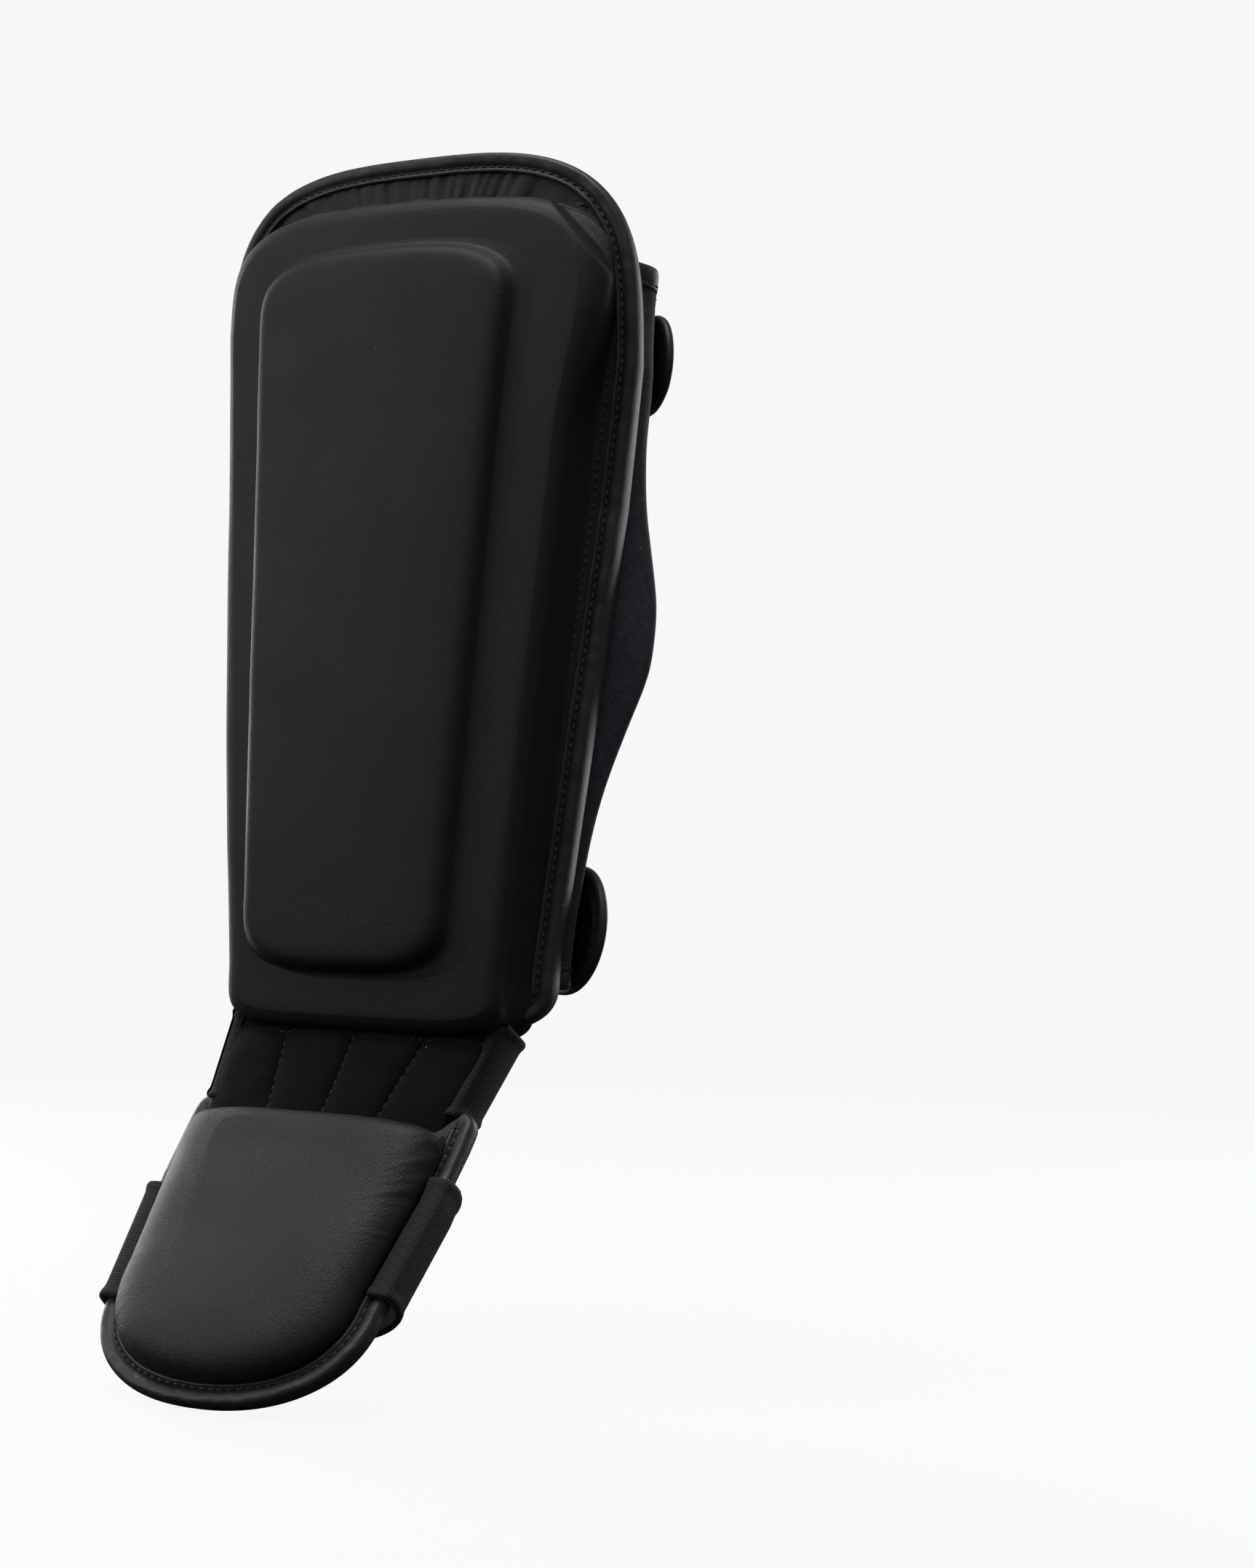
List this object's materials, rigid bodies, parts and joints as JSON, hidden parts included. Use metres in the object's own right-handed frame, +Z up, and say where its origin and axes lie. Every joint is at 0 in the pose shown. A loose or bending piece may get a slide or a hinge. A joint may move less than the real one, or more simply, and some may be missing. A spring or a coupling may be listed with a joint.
{
  "type": "shin guard",
  "caption": "Strap-on shin and instep guard with a raised foam shin plate, calf wing, hook-and-loop straps, quilted ankle panel and padded instep flap.",
  "frame": {"origin": "on the lining, where the middle of the shin bone rests, at half the height of the shin pad", "axes": "+Z up the shin to the knee, -Y to the front and the toes, +Y to the calf, +X to the side where the calf wing is sewn on"},
  "size_m": [0.186, 0.1944, 0.4718],
  "materials": {
    "pu_leather": "matte",
    "binding_leather": "satin",
    "foam": "matte",
    "lining": "matte",
    "neoprene": "matte",
    "elastic": "matte",
    "hook_tape": "matte",
    "ankle_fabric": "matte"
  },
  "bodies": {
    "shin": {"shin_cover": "pu_leather", "shin_ridge_foam": "foam", "shin_foam": "foam", "shin_lining": "lining", "shin_binding": "binding_leather", "calf_wing": "neoprene", "wing_top_hem": "binding_leather", "wing_bottom_hem": "binding_leather", "wing_end_hem": "binding_leather", "upper_strap_anchor": "elastic", "lower_strap_anchor": "elastic"},
    "upper_strap": {"upper_strap_elastic": "elastic", "upper_strap_tab": "pu_leather", "upper_strap_hook": "hook_tape", "upper_strap_binding": "binding_leather"},
    "lower_strap": {"lower_strap_elastic": "elastic", "lower_strap_tab": "pu_leather", "lower_strap_hook": "hook_tape", "lower_strap_binding": "binding_leather"},
    "ankle": {"ankle_face": "ankle_fabric", "ankle_foam": "foam", "ankle_backing": "lining", "ankle_band": "elastic"},
    "instep": {"instep_cover": "pu_leather", "instep_foam": "foam", "instep_lining": "lining", "instep_binding": "binding_leather", "foot_band": "elastic"}
  },
  "joints": [
    {"name": "instep_flex", "type": "hinge", "parent": "shin", "child": "instep", "pos_m": [0, -0.019, -0.19], "axis": [1, 0, 0], "range_deg": [-30, 30], "stiffness_Nm_per_rad": 2},
    {"name": "ankle_flex", "type": "hinge", "parent": "shin", "child": "ankle", "pos_m": [0, -0.019, -0.19], "axis": [1, 0, 0], "range_deg": [-15, 15]},
    {"name": "upper_strap_peel", "type": "hinge", "parent": "shin", "child": "upper_strap", "pos_m": [-0.0894, 0.0312, 0.065], "axis": [0, 0, 1], "range_deg": [0, 105]},
    {"name": "lower_strap_peel", "type": "hinge", "parent": "shin", "child": "lower_strap", "pos_m": [-0.072, 0.0235, -0.128], "axis": [0, 0, 1], "range_deg": [0, 105]}
  ],
  "couplings": [
    {"joint": "ankle_flex", "follows": "instep_flex", "ratio": 0.5}
  ]
}
